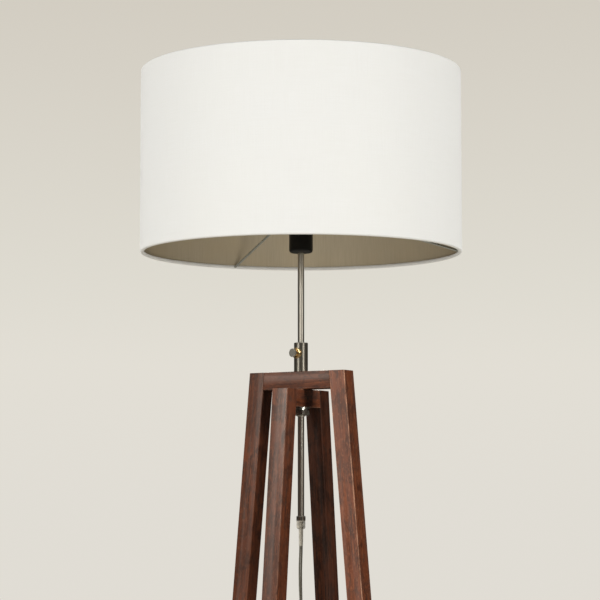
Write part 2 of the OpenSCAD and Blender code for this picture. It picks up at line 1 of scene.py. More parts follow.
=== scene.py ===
"""Looks of a floor lamp on two crossed wooden leg frames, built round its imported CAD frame.

Lengths are in metres, in the frame of the CAD: Z up, origin on the floor under the mast,
+X along the upper leg frame, -Y towards the front leg.
"""

import math

import bmesh
import bpy
from mathutils import Matrix, Vector, noise


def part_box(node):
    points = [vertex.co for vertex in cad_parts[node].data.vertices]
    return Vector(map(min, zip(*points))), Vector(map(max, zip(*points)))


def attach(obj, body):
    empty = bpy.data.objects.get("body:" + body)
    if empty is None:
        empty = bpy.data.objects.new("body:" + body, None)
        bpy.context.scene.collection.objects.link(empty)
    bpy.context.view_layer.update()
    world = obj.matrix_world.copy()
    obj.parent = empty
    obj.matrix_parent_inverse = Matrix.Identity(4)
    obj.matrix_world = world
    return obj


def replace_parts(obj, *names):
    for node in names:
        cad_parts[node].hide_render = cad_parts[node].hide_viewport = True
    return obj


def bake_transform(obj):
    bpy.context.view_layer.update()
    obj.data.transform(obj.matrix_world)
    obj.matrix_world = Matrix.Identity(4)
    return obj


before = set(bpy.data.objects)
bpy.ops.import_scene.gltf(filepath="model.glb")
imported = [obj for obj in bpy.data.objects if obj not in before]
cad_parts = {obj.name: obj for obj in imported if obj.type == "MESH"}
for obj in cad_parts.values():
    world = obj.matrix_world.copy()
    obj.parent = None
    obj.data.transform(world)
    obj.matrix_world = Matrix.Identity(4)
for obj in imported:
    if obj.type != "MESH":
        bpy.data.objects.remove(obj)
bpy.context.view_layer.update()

MM = 0.001
UP = Vector((0, 0, 1))

# Sizes and places that the frame gives
RAIL_LOW, RAIL_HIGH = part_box("upper_rail")
SHADE_LOW, SHADE_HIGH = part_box("shade_cover")
BEAM_W = RAIL_HIGH.y - RAIL_LOW.y
SHADE_R = SHADE_HIGH.x


# ---- Camera ----

LENS_MM = 132
SENSOR_MM = 36
CAMERA_TURN = math.radians(32.57)
CAMERA_DISTANCE = 3.4005
CAMERA_HEIGHT = 0.8264
CAMERA_PITCH = math.radians(5.297)
AIM_LEFT = 0.0015


def make_camera():
    """The camera stands to the right of the lamp's front, level with the legs, and looks up."""
    camera = bpy.data.objects.new("camera", bpy.data.cameras.new("camera"))
    camera.data.lens = LENS_MM
    camera.data.sensor_width = SENSOR_MM
    outward = Vector((math.sin(CAMERA_TURN), -math.cos(CAMERA_TURN), 0))
    picture_left = Vector((-math.cos(CAMERA_TURN), -math.sin(CAMERA_TURN), 0))
    camera.location = outward * CAMERA_DISTANCE + UP * CAMERA_HEIGHT
    aim = picture_left * AIM_LEFT + UP * (
        CAMERA_HEIGHT + CAMERA_DISTANCE * math.tan(CAMERA_PITCH)
    )
    camera.rotation_euler = (aim - camera.location).to_track_quat("-Z", "Y").to_euler()
    bpy.context.scene.collection.objects.link(camera)
    bpy.context.scene.camera = camera


make_camera()


# ---- Meshes ----

SHARP_DEG = 38


def new_piece(name, skins, materials, sharp=SHARP_DEG):
    """A mesh object of one or more skins, each (points, faces, index of its material)."""
    mesh = bpy.data.meshes.new(name)
    points, faces, slots = [], [], []
    for skin_points, skin_faces, slot in skins:
        start = len(points)
        points += [tuple(p) for p in skin_points]
        faces += [tuple(start + i for i in face) for face in skin_faces]
        slots += [slot] * len(skin_faces)
    mesh.from_pydata(points, [], faces)
    mesh.polygons.foreach_set("material_index", slots)
    shape = bmesh.new()
    shape.from_mesh(mesh)
    bmesh.ops.remove_doubles(shape, verts=shape.verts, dist=1e-7)
    bmesh.ops.recalc_face_normals(shape, faces=shape.faces)
    shape.to_mesh(mesh)
    shape.free()
    for material in materials:
        mesh.materials.append(material)
    mesh.shade_smooth()
    mesh.set_sharp_from_angle(angle=math.radians(sharp))
    piece = bpy.data.objects.new(name, mesh)
    bpy.context.scene.collection.objects.link(piece)
    return piece


def loft(rings, closed=False, caps=True):
    """Points and faces of a skin over rings that have the same number of points."""
    n = len(rings[0])
    points = [Vector(p) for ring in rings for p in ring]
    faces = []
    for i in range(len(rings) if closed else len(rings) - 1):
        a, b = i * n, (i + 1) % len(rings) * n
        faces += [(a + k, a + (k + 1) % n, b + (k + 1) % n, b + k) for k in range(n)]
    if caps and not closed:
        faces.append(tuple(range(n)))
        faces.append(tuple(range(len(points) - n, len(points))))
    return points, faces


def lathe(profile, segments=64, matrix=Matrix.Identity(4)):
    """A closed profile of (radius, height) turned round Z, then placed by a matrix."""
    rings = []
    for i in range(segments):
        turn = 2 * math.pi * i / segments
        rings.append([
            matrix @ Vector((r * math.cos(turn), r * math.sin(turn), z)) for r, z in profile
        ])
    return loft(rings, closed=True)


def arc(centre, radius, first, last, steps=6):
    """Points of an arc between two angles in degrees; radius may be a pair for an ellipse."""
    a, b = radius if isinstance(radius, tuple) else (radius, radius)
    angles = [math.radians(first + (last - first) * i / steps) for i in range(steps + 1)]
    return [(centre[0] + a * math.cos(t), centre[1] + b * math.sin(t)) for t in angles]


def rounded_rectangle(width, height, radius, steps=4):
    """The outline of a rectangle round the origin with rounded corners."""
    outline = []
    for quarter, (sx, sy) in enumerate([(1, 1), (-1, 1), (-1, -1), (1, -1)]):
        centre = (sx * (width / 2 - radius), sy * (height / 2 - radius))
        outline += arc(centre, radius, 90 * quarter, 90 * quarter + 90, steps)
    return outline


def smooth_route(points, steps):
    """A Catmull-Rom curve through the points."""
    p = [Vector(q) for q in points]
    p = [p[0]] + p + [p[-1]]
    route = []
    for a, b, c, d in zip(p, p[1:], p[2:], p[3:]):
        for i in range(steps):
            t = i / steps
            route.append(0.5 * (
                2 * b + (c - a) * t + (2 * a - 5 * b + 4 * c - d) * t * t
                + (3 * b - 3 * c + d - a) * t ** 3
            ))
    return route + [p[-1]]


def frames_along(route):
    """For each point of a route, two directions across it that turn as little as they can."""
    last = Vector((1, 0, 0))
    frames = []
    for i in range(len(route)):
        along = (route[min(i + 1, len(route) - 1)] - route[max(i - 1, 0)]).normalized()
        last = (last - along * last.dot(along)).normalized()
        frames.append((last.copy(), along.cross(last)))
    return frames


def tube(route, radius, sides=16, offset=0.0, turn=0.0, lay=math.inf):
    """A round skin along a route; with an offset it winds round the route, one turn in each lay."""
    rings = []
    gone = 0.0
    last = route[0]
    for point, (across, beside) in zip(route, frames_along(route)):
        gone += (point - last).length
        last = point
        angle = turn + 2 * math.pi * gone / lay
        centre = point + offset * (across * math.cos(angle) + beside * math.sin(angle))
        rings.append([
            centre + radius * (across * math.cos(t) + beside * math.sin(t))
            for t in (2 * math.pi * k / sides for k in range(sides))
        ])
    return loft(rings)


def drill(piece, centre, axis, radius, depth):
    """Cuts a round hole through a piece."""
    turn = UP.rotation_difference(Vector(axis)).to_matrix().to_4x4()
    rings = [
        [(x, y, z) for x, y in arc((0, 0), radius, 0, 360, 64)[:-1]]
        for z in (-depth / 2, depth / 2)
    ]
    points, faces = loft(rings)
    points = [Matrix.Translation(centre) @ turn @ p for p in points]
    cutter = new_piece("cutter", [(points, faces, 0)], [])
    cut = piece.modifiers.new("hole", "BOOLEAN")
    cut.operation = "DIFFERENCE"
    cut.solver = "EXACT"
    cut.object = cutter
    dg = bpy.context.evaluated_depsgraph_get()
    made = bpy.data.meshes.new_from_object(piece.evaluated_get(dg))
    piece.modifiers.clear()
    piece.data = made
    made.set_sharp_from_angle(angle=math.radians(SHARP_DEG))
    bpy.data.objects.remove(cutter)


# ---- Node materials ----


def add_node(tree, kind, inputs=None, **settings):
    """A node with its settings made and its inputs set or linked."""
    made = tree.nodes.new(kind)
    for key, value in settings.items():
        setattr(made, key, value)
    for socket, value in (inputs or {}).items():
        if isinstance(value, bpy.types.NodeSocket):
            tree.links.new(value, made.inputs[socket])
        else:
            made.inputs[socket].default_value = value
    return made


class Surface:
    """A node material on one Principled shader, with short calls for the nodes."""

    def __init__(self, name, **constants):
        self.material = bpy.data.materials.new(name)
        self.material.use_nodes = True
        self.tree = self.material.node_tree
        self.shader = self.tree.nodes["Principled BSDF"]
        for socket, value in constants.items():
            self.shader.inputs[socket.replace("_", " ")].default_value = value

    def node(self, kind, inputs=None, **settings):
        return add_node(self.tree, kind, inputs, **settings)

    def math(self, operation, *values, clamp=False):
        inputs = dict(enumerate(values))
        return self.node("ShaderNodeMath", inputs, operation=operation, use_clamp=clamp).outputs[0]

    def stretch(self, vector, scale, shift=(0, 0, 0)):
        inputs = {"Vector": vector, "Scale": scale, "Location": shift}
        return self.node("ShaderNodeMapping", inputs).outputs[0]

    def noise(self, vector, scale, detail=3.0, roughness=0.5, distortion=0.0):
        inputs = {
            "Vector": vector, "Scale": scale, "Detail": detail,
            "Roughness": roughness, "Distortion": distortion,
        }
        return self.node("ShaderNodeTexNoise", inputs).outputs["Fac"]

    def spread(self, value, low, high, to_low=0.0, to_high=1.0):
        inputs = {
            "Value": value, "From Min": low, "From Max": high,
            "To Min": to_low, "To Max": to_high,
        }
        return self.node("ShaderNodeMapRange", inputs).outputs[0]

    def mix(self, factor, a, b, blend="MIX"):
        made = self.node("ShaderNodeMix", data_type="RGBA", blend_type=blend)
        for socket, value in (("Factor_Float", factor), ("A_Color", a), ("B_Color", b)):
            target = next(i for i in made.inputs if i.identifier == socket)
            if isinstance(value, bpy.types.NodeSocket):
                self.tree.links.new(value, target)
            else:
                target.default_value = value
        return next(o for o in made.outputs if o.identifier == "Result_Color")

    def place(self):
        """Where the surface is in the frame, in metres."""
        return self.node("ShaderNodeTexCoord").outputs["Object"]

    def attribute(self, name):
        return self.node("ShaderNodeAttribute", attribute_name=name).outputs["Vector"]

    def feed(self, socket, value):
        self.tree.links.new(value, self.shader.inputs[socket])

    def bump(self, height, depth, strength=1.0):
        inputs = {"Height": height, "Distance": depth, "Strength": strength}
        self.feed("Normal", self.node("ShaderNodeBump", inputs).outputs[0])


def rgb(r, g, b):
    return (r, g, b, 1.0)


def wood_surface(name, end_grain=False):
    """Stained beam: fine streaks along the grain, growth bands, blotches of stain, a painted
    highlight on the arrises.
    """
    s = Surface(name, IOR=1.48)
    grain = s.attribute("grain")
    stain_and_shade = s.node("ShaderNodeAttribute", attribute_name="stain_and_shade").outputs["Fac"]
    x, y, z = s.node("ShaderNodeSeparateXYZ", {0: s.attribute("section")}).outputs
    across = 1 if end_grain else 0.05
    streaks = s.noise(s.stretch(grain, (across, 1, 1)), 430, 4, 0.65, 0.3)
    pores = s.noise(s.stretch(grain, (across, 1, 1)), 1500, 2, 0.5)
    bands = s.noise(s.stretch(grain, (0.6 * across, 1, 1)), 85, 3, 0.55, 0.4)
    gloss = s.noise(s.stretch(grain, (0.6 * across, 1, 1), (0.4, 0.1, 0.7)), 60, 2, 0.5, 0.3)
    blotches = s.noise(s.stretch(grain, (0.7, 1, 1)), 48, 4, 0.62, 0.5)
    smears = s.noise(s.stretch(grain, (0.5, 1, 1)), 95, 3, 0.6, 0.8)
    flecks = s.noise(s.stretch(grain, (0.3, 1, 1)), 520, 2, 0.6)
    long_tone = s.noise(s.stretch(grain, (1, 0.4, 0.4)), 7, 2, 0.5)
    dark, middle, light = WOOD_COLOURS
    colour = s.mix(s.spread(bands, 0.42, 0.58), dark, middle)
    colour = s.mix(s.spread(streaks, 0.45, 0.60, 0, 0.8), colour, light)
    colour = s.mix(s.spread(blotches, 0.50, 0.60, 0, 0.8), colour, WOOD_RED)
    colour = s.mix(s.spread(blotches, 0.46, 0.37, 0, 0.85), colour, dark)
    colour = s.mix(s.spread(smears, 0.52, 0.64, 0, 0.7), colour, WOOD_COOL)
    colour = s.mix(s.spread(long_tone, 0.42, 0.60, 0, 0.45), colour, dark)
    colour = s.mix(s.spread(flecks, 0.56, 0.68, 0, 0.4), colour, WOOD_PALE)
    colour = s.mix(s.spread(pores, 0.58, 0.72, 0, 0.4), colour, WOOD_PORE)
    # Darkens each beam by its own per-beam value: partly a real difference of stain, partly painted
    # shade.
    colour = s.mix(s.spread(stain_and_shade, 0, 1, 1, 0), colour, WOOD_PORE)
    half = BEAM_W / 2
    # A painted highlight runs along the rounded arrises, in a band just inside each edge.
    from_edge = s.math("MINIMUM", s.math("ABSOLUTE", y), s.math("ABSOLUTE", z))
    arris_highlight_band = s.spread(from_edge, half - 1.6 * MM, half - 0.8 * MM, 0, 0.8)
    if end_grain:
        colour = s.mix(0.45, colour, WOOD_PORE)
    else:
        # The painted arris highlight is patchy with the blotches and weaker on the beams darkened
        # by painted shade.
        arris_highlight = s.math("MULTIPLY", arris_highlight_band, s.spread(blotches, 0.3, 0.6))
        arris_highlight = s.math("MULTIPLY", arris_highlight, s.spread(stain_and_shade, 0.6, 1.0))
        colour = s.mix(arris_highlight, colour, WOOD_ARRIS_HIGHLIGHT)
    s.feed("Base Color", colour)
    s.feed("Roughness", s.spread(smears, 0.3, 0.7, 0.42, 0.54))
    s.feed("Specular IOR Level", s.spread(gloss, 0.42, 0.58, 0.26, 0.56))
    fine = s.math("MULTIPLY", streaks, 0.5)
    s.bump(s.math("SUBTRACT", fine, s.spread(pores, 0.58, 0.72, 0, 0.8)), 0.08 * MM, 0.4)
    return s.material


WOOD_COLOURS = (
    rgb(0.038, 0.0092, 0.0032), rgb(0.102, 0.0262, 0.0086), rgb(0.185, 0.0525, 0.0180),
)
WOOD_RED = rgb(0.130, 0.0330, 0.0115)
WOOD_COOL = rgb(0.050, 0.0190, 0.0105)
WOOD_PORE = rgb(0.012, 0.0035, 0.0018)
WOOD_PALE = rgb(0.200, 0.0760, 0.0370)
# The pale colour of the painted highlight on the arrises.
WOOD_ARRIS_HIGHLIGHT = rgb(0.300, 0.1600, 0.1050)


def metal_surface(name, colour, dull, roughness, drawn=(1, 1, 0.02), marks=900.0, depth=0.01):
    """Bare metal with drawing or turning marks and a little tarnish."""
    s = Surface(name, Metallic=1.0)
    place = s.place()
    lines = s.noise(s.stretch(place, drawn), marks, 4, 0.62)
    clouds = s.noise(place, 60, 3, 0.6)
    s.feed("Base Color", s.mix(s.spread(clouds, 0.42, 0.75, 0, 0.7), colour, dull))
    low, high = roughness
    mixed = s.math("ADD", s.math("MULTIPLY", lines, 0.7), s.math("MULTIPLY", clouds, 0.3))
    s.feed("Roughness", s.spread(mixed, 0.3, 0.7, low, high))
    if depth:
        s.bump(lines, depth * MM, 0.5)
    return s.material


def moulded_surface(name, colour, shade, roughness, grain=1400.0, depth=0.02, **constants):
    """Moulded plastic: fine spark-eroded grain and a faint change of tone."""
    s = Surface(name, **constants)
    place = s.place()
    fine = s.noise(place, grain, 2, 0.6)
    soft = s.noise(place, 45, 3, 0.6)
    s.feed("Base Color", s.mix(s.spread(soft, 0.35, 0.7), colour, shade))
    s.feed("Roughness", s.spread(fine, 0.3, 0.7, roughness - 0.05, roughness + 0.07))
    s.bump(fine, depth * MM, 0.35)
    return s.material


def fabric_surface():
    """Plain weave laminated on a stiff backing: threads, slubs, a soft bloom."""
    s = Surface("shade_fabric", Sheen_Weight=0.15, Sheen_Roughness=0.4, Specular_IOR_Level=0.25)
    weave = s.attribute("weave")
    u, v, _ = s.node("ShaderNodeSeparateXYZ", {0: weave}).outputs
    pitch = 0.55 * MM
    wave_u = s.math("SINE", s.math("MULTIPLY", u, 2 * math.pi / pitch))
    wave_v = s.math("SINE", s.math("MULTIPLY", v, 2 * math.pi / pitch))
    cross = s.math("MULTIPLY", wave_u, wave_v)
    warp = s.noise(s.stretch(weave, (1, 0.02, 1)), 900, 3, 0.6)
    weft = s.noise(s.stretch(weave, (0.02, 1, 1)), 900, 3, 0.6)
    threads = s.math("ADD", s.math("MULTIPLY", warp, 0.5), s.math("MULTIPLY", weft, 0.5))
    soft = s.noise(weave, 9, 3, 0.5)
    colour = s.mix(s.spread(threads, 0.35, 0.65), FABRIC_SHADE, FABRIC_LIGHT)
    colour = s.mix(s.spread(soft, 0.35, 0.7, 0, 0.4), colour, FABRIC_WARM)
    colour = s.mix(s.spread(cross, -1, -0.4, 0.25, 0), colour, FABRIC_GAP)
    s.feed("Base Color", colour)
    s.feed("Roughness", s.spread(threads, 0.3, 0.7, 0.78, 0.92))
    height = s.math("ADD", s.math("MULTIPLY", cross, 0.35), threads)
    s.bump(height, 0.10 * MM, 0.5)
    return s.material


FABRIC_LIGHT = rgb(0.866, 0.866, 0.845)
FABRIC_SHADE = rgb(0.834, 0.832, 0.805)
FABRIC_WARM = rgb(0.860, 0.854, 0.815)
FABRIC_GAP = rgb(0.70, 0.69, 0.63)


def lining_surface():
    """Satin champagne foil with fine brushed grain along the height of the shade."""
    s = Surface("shade_lining", Metallic=0.35, Specular_IOR_Level=0.35)
    weave = s.attribute("weave")
    hairs = s.noise(s.stretch(weave, (1, 0.03, 1)), 700, 4, 0.62)
    clouds = s.noise(weave, 14, 3, 0.55)
    colour = s.mix(s.spread(hairs, 0.35, 0.68), LINING_DARK, LINING_LIGHT)
    s.feed("Base Color", s.mix(s.spread(clouds, 0.4, 0.7, 0, 0.5), colour, LINING_WARM))
    s.feed("Roughness", s.spread(hairs, 0.3, 0.7, 0.42, 0.55))
    s.bump(hairs, 0.03 * MM, 0.4)
    return s.material


LINING_DARK = rgb(0.42, 0.365, 0.275)
LINING_LIGHT = rgb(0.49, 0.430, 0.325)
LINING_WARM = rgb(0.47, 0.395, 0.275)


def clear_surface(name, colour, alpha, roughness, dark=0.8):
    """Clear plastic: painted light and dark patches that stand in for the light it bends, and an
    uneven gloss.
    """
    s = Surface(name, Alpha=alpha, IOR=1.5, Coat_Weight=0.4, Coat_Roughness=0.08)
    place = s.place()
    painted_light_and_gloss = s.noise(place, 300, 3, 0.6)
    # The darker copy of the colour is painted shade; mixed with the plain colour it gives patches
    # of painted light and shade.
    shade = rgb(*(dark * c for c in colour[:3]))
    s.feed("Base Color", s.mix(s.spread(painted_light_and_gloss, 0.42, 0.60), colour, shade))
    s.feed("Roughness", s.spread(painted_light_and_gloss, 0.3, 0.7, roughness, roughness + 0.12))
    s.bump(painted_light_and_gloss, 0.05 * MM, 0.3)
    return s.material


FINISH = {
    "wood": wood_surface("walnut_stain"),
    "wood_end": wood_surface("walnut_end_grain", end_grain=True),
    "steel": metal_surface(
        "satin_steel", rgb(0.60, 0.57, 0.51), rgb(0.54, 0.51, 0.455), (0.28, 0.33),
        (1, 1, 0.01), 1500.0, 0,
    ),
    "bright_steel": metal_surface(
        "bright_steel", rgb(0.74, 0.71, 0.65), rgb(0.70, 0.67, 0.61), (0.28, 0.33),
        (1, 1, 0.01), 1500.0, 0,
    ),
    "zinc": metal_surface(
        "zinc_plate", rgb(0.46, 0.47, 0.44), rgb(0.33, 0.35, 0.32), (0.2, 0.38), (1, 1, 1), 500.0
    ),
    "nickel": metal_surface(
        "bright_nickel", rgb(0.60, 0.59, 0.55), rgb(0.52, 0.51, 0.47), (0.26, 0.36),
        (1, 1, 1), 1800.0, 0.002,
    ),
    "brass": metal_surface(
        "turned_brass", rgb(0.70, 0.51, 0.27), rgb(0.50, 0.35, 0.19), (0.24, 0.32),
        (1, 0.1, 1), 1100.0, 0,
    ),
    "black": moulded_surface(
        "black_phenolic", rgb(0.010, 0.010, 0.0095), rgb(0.014, 0.0135, 0.012), 0.40,
        Specular_IOR_Level=0.3,
    ),
    "white_plastic": moulded_surface(
        "white_plastic", rgb(0.80, 0.79, 0.75), rgb(0.76, 0.75, 0.70), 0.36
    ),
    "ceramic": moulded_surface(
        "glazed_ceramic", rgb(0.78, 0.77, 0.72), rgb(0.72, 0.70, 0.64), 0.18, 300.0, 0.03
    ),
    "beech": moulded_surface(
        "beech_dowel", rgb(0.50, 0.33, 0.19), rgb(0.40, 0.25, 0.13), 0.6, 700.0
    ),
    "fabric": fabric_surface(),
    "lining": lining_surface(),
    # The last number of each clear part sets how dark its painted shade is.
    "clear_nut": clear_surface("clear_gland_nut", rgb(0.86, 0.82, 0.72), 0.58, 0.10, 0.22),
    "clear_sleeve": clear_surface("clear_soft_sleeve", rgb(0.90, 0.87, 0.79), 0.50, 0.14, 0.72),
    "jacket": clear_surface("clear_jacket", rgb(0.34, 0.33, 0.28), 0.30, 0.16),
    "core": metal_surface(
        "tinned_strand", rgb(0.23, 0.22, 0.185), rgb(0.15, 0.145, 0.12), (0.35, 0.5),
        (1, 1, 0.3), 800.0,
    ),
}

# CAD nodes that keep their own shape, by finish
CAD_FINISH = {
    "steel": ["clamp_sleeve", "gland_ferrule", "holder_locknut", "rail_pins"],
    "bright_steel": ["mast_tube"],
    "zinc": [
        "flat_washer", "lock_washer", "clamp_nut", "terminal_screws", "switch_screws",
        "shade_top_ring", "shade_bottom_ring", "spider_hub",
        "spider_arm_right", "spider_arm_left", "spider_arm_front",
    ],
    "nickel": ["thumbscrew_stem", "thumbscrew_knob", "plug_pins"],
    "brass": ["clamp_boss", "holder_contacts", "switch_contacts"],
    "black": [
        "holder_cap", "holder_skirt", "shade_ring",
        "glide_right", "glide_left", "glide_front", "glide_back",
    ],
    "ceramic": ["holder_insert"],
    "beech": ["frame_dowels"],
    "clear_nut": ["gland_nut"],
    "clear_sleeve": ["gland_sleeve"],
}


def finish_cad_nodes():
    for finish, nodes in CAD_FINISH.items():
        for name in nodes:
            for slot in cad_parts[name].material_slots:
                slot.material = FINISH[finish]


finish_cad_nodes()


# ---- Cord ----
# The cord leaves the soft sleeve under the mast, hangs to the floor and runs to the foot switch.
# Behind the switch it goes on to the stored coil and from there to the plug.

CORD_D = 5.6 * MM
CORE_R = 1.2 * MM
CORE_SPACING = 2.8 * MM
CORE_LAY = 360 * MM
CORE_START = math.radians(-57)
COIL_CENTRE = (66, 85)
COIL_BOTTOM_Z, COIL_TOP_Z = 4.0, 8.8

DROP_ROUTE = [
    (0, 0, 762), (-0.2, -0.1, 750), (-0.7, -0.5, 730), (-0.7, -0.4, 705), (0, 0, 675),
    (0.4, 0.2, 640), (-0.3, -0.3, 580), (0.4, -0.3, 500), (-0.4, 0.4, 415),
    (0.5, 0.2, 325), (-0.4, -0.3, 240), (0.3, 0.2, 165), (0, 0, 105),
]
SWITCH_ROUTE = [
    (0, 0, 60), (0, 0, 53), (0, -2, 42), (2, -8, 29), (5, -17, 17), (10, -29, 8),
    (17, -43, 3.6), (23, -57, 2.8), (29, -72, 2.8), (35, -90, 2.8), (40, -110, 2.8),
    (42, -130, 2.9), (46, -145, 3.1), (56, -156, 3.6), (69, -160, 4.6), (82, -156, 5.8),
    (91, -146, 7), (95, -136, 7.8), (95, -126, 8), (95, -112, 8),
]
COIL_ROUTE = [
    (95, -28, 8), (95, -14, 8), (95, -6, 8), (96, 6, 7.2), (97, 20, 5.6), (98, 35, 4.4),
    (99, 50, 4), (100, 66, 4), (100.4, 76, 4),
]
PLUG_ROUTE = [
    (66, 116.6, 8.7), (54, 116.4, 8.6), (42, 116, 7.8), (29, 114, 6.2), (15, 112, 4.4),
    (2, 109, 3.2), (-10, 106, 3.8), (-20, 105, 6), (-29, 105, 6.8), (-38, 105, 6.8),
    (-50, 105, 6.8),
]


def in_metres(points):
    return [Vector(p) * MM for p in points]


def coil_turns():
    """Three turns side by side on the floor, then two on top, wound inwards and out again."""
    turns = [(34.6, COIL_BOTTOM_Z), (29.0, COIL_BOTTOM_Z), (23.4, COIL_BOTTOM_Z),
             (26.2, COIL_TOP_Z), (31.8, COIL_TOP_Z)]
    steps = 24
    points = []
    for turn, (radius, z) in enumerate(turns):
        after = turns[turn + 1] if turn + 1 < len(turns) else (radius, z)
        last = turn + 1 == len(turns)
        for i in range(steps // 4 + 1 if last else steps):
            angle = 2 * math.pi * i / steps
            change = max(0, (i / steps - 0.8) / 0.2)
            r = radius + (after[0] - radius) * change
            height = z + (after[1] - z) * change
            points.append((
                COIL_CENTRE[0] + r * math.cos(angle), COIL_CENTRE[1] + r * math.sin(angle), height
            ))
    return points


def make_cord(name, route):
    """A clear jacket with two tinned strands side by side in it."""
    skins = [(*tube(route, CORD_D / 2, 20), 0)]
    for side in (-1, 1):
        skins.append((*tube(route, CORE_R, 12, side * CORE_SPACING / 2, CORE_START, CORE_LAY), 1))
    return new_piece(name, skins, [FINISH["jacket"], FINISH["core"]])


def route_length(route):
    return sum((b - a).length for a, b in zip(route, route[1:]))


lamp_route = smooth_route(in_metres(DROP_ROUTE + SWITCH_ROUTE), 8)
plug_route = (
    smooth_route(in_metres(COIL_ROUTE), 6)
    + in_metres(coil_turns())
    + smooth_route(in_metres(PLUG_ROUTE), 6)
)
lamp_cord = make_cord("cord_lamp_to_switch", lamp_route)
plug_cord = make_cord("cord_switch_to_plug", plug_route)


# ---- Wooden frames ----

ARRIS_R = 1.3 * MM
EASED = 0.5 * MM


def splay_of(node, wide):
    """The slope of a leg, from the box of its node."""
    low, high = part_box(node)
    rise = high.z - low.z
    angle = 0.0
    for _ in range(12):
        angle = math.atan((wide - BEAM_W / math.cos(angle)) / rise)
    return angle


def beam_outline(inset=0.0):
    side = BEAM_W - 2 * inset
    return rounded_rectangle(side, side, ARRIS_R - inset / 2, 4)


def set_grain(piece, to_beam, offset, stain_and_shade):
    """Keeps each point's place in its own beam, X along the grain, and how dark the beam is: partly
    its stain, partly painted shade.
    """
    section = [to_beam(v.co) for v in piece.data.vertices]
    grain = [p + Vector(offset) for p in section]
    for name, vectors in (("section", section), ("grain", grain)):
        layer = piece.data.attributes.new(name, "FLOAT_VECTOR", "POINT")
        layer.data.foreach_set("vector", [c for v in vectors for c in v])
    layer = piece.data.attributes.new("stain_and_shade", "FLOAT", "POINT")
    layer.data.foreach_set("value", [stain_and_shade] * len(section))


def make_leg(node, outward, number, stain_and_shade):
    """A square beam that leans outwards, cut level at both ends."""
    low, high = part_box(node)
    out = Vector(outward)
    side = UP.cross(out)
    reach = [abs(corner.dot(out)) for corner in (low, high)]
    wide = max(reach) - min(reach)
    slope = splay_of(node, wide)
    span = BEAM_W / math.cos(slope)
    foot = max(reach) - span / 2
    rings = []
    for z, inset in ((low.z, EASED), (low.z + EASED, 0), (high.z - EASED, 0), (high.z, EASED)):
        centre = out * (foot - math.tan(slope) * (z - low.z)) + UP * z
        rings.append([
            centre + out * (u / math.cos(slope)) + side * w for u, w in beam_outline(inset)
        ])
    points, faces = loft(rings)
    ends = faces[-2:]
    leg = new_piece(
        "wood_" + node, [(points, faces[:-2], 0), (points, ends, 1)],
        [FINISH["wood"], FINISH["wood_end"]],
    )
    axis_x = (UP * math.cos(slope) - out * math.sin(slope)).normalized()
    axis_y = (out * math.cos(slope) + UP * math.sin(slope)).normalized()
    centre = out * foot + UP * low.z

    def to_beam(p):
        d = p - centre
        return Vector((d.dot(axis_x), d.dot(axis_y), d.dot(side)))

    set_grain(leg, to_beam, (1.7 * number, 0.11 * number, 0.07 * number), stain_and_shade)
    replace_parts(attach(leg, "stand"), node)
    return leg


def make_rail(node, along, number, stain_and_shade):
    """A rail between two legs, its ends cut to their slope, with the hole for the stub."""
    low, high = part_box(node)
    out = Vector(along)
    side = UP.cross(out)
    slope = splay_of("leg_right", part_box("leg_right")[1].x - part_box("leg_right")[0].x)
    foot = abs(high.dot(out))
    middle = (low.z + high.z) / 2
    rings = []
    for end, inset in ((-1, EASED), (-1, 0), (1, 0), (1, EASED)):
        ring = []
        for w, h in beam_outline(inset * 0.6):
            short = 0 if inset else EASED * 0.6
            reach = foot - math.tan(slope) * (middle + h - low.z) - short
            ring.append(out * (end * reach) + side * w + UP * (middle + h))
        rings.append(ring)
    rail = new_piece("wood_" + node, [(*loft(rings), 0)], [FINISH["wood"]])
    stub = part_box("clamp_sleeve")
    drill(rail, Vector((0, 0, middle)), UP, 7.2 * MM, 2 * (stub[1].z - stub[0].z))

    def to_beam(p):
        return Vector((p.dot(out), p.z - middle, p.dot(side)))

    set_grain(rail, to_beam, (9.3 + 1.9 * number, 0.4, 0.23 * number), stain_and_shade)
    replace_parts(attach(rail, "stand"), node)
    return rail


# The last number of each leg and rail sets how dark that beam is: partly its own stain, partly
# painted shade.
legs = [
    make_leg("leg_right", (1, 0, 0), 1, 0.98),
    make_leg("leg_left", (-1, 0, 0), 2, 0.67),
    make_leg("leg_front", (0, -1, 0), 3, 0.72),
    make_leg("leg_back", (0, 1, 0), 4, 0.62),
]
back_leg = legs[3]
rails = [
    make_rail("upper_rail", (1, 0, 0), 1, 0.65),
    make_rail("lower_rail", (0, 1, 0), 2, 0.85),
]


# ---- Shade ----

COVER_T = 1.2 * MM
LINING_T = 0.6 * MM
WIRE_R = 2 * MM
RING_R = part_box("shade_bottom_ring")[1].x - WIRE_R
RING_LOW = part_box("shade_bottom_ring")[0].z + WIRE_R
RING_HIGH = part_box("shade_top_ring")[0].z + WIRE_R
SHADE_STEPS = 240
SEAM_TURN = math.radians(118)
SEAM_W = 12 * MM


def around_seam(turn):
    """How far a direction is from the seam, along the outside of the shade."""
    return abs((turn - SEAM_TURN + math.pi) % (2 * math.pi) - math.pi) * SHADE_R


def sheet_skin(profile, swell=0.0, seam=0.0):
    """A closed profile turned round the shade, a little uneven as laminated cloth is."""
    rings = []
    for i in range(SHADE_STEPS):
        turn = 2 * math.pi * i / SHADE_STEPS
        lap = seam if around_seam(turn) < SEAM_W / 2 else 0.0
        ring = []
        for r, z in profile:
            bulge = noise.noise(Vector((3 * math.cos(turn), 3 * math.sin(turn), 5 * z))) * swell
            edge = min(1.0, max(0.0, (z - RING_LOW) / 0.02), max(0.0, (RING_HIGH - z) / 0.02))
            full = r + (bulge + lap) * edge
            ring.append((full * math.cos(turn), full * math.sin(turn), z))
        rings.append(ring)
    return loft(rings, closed=True)


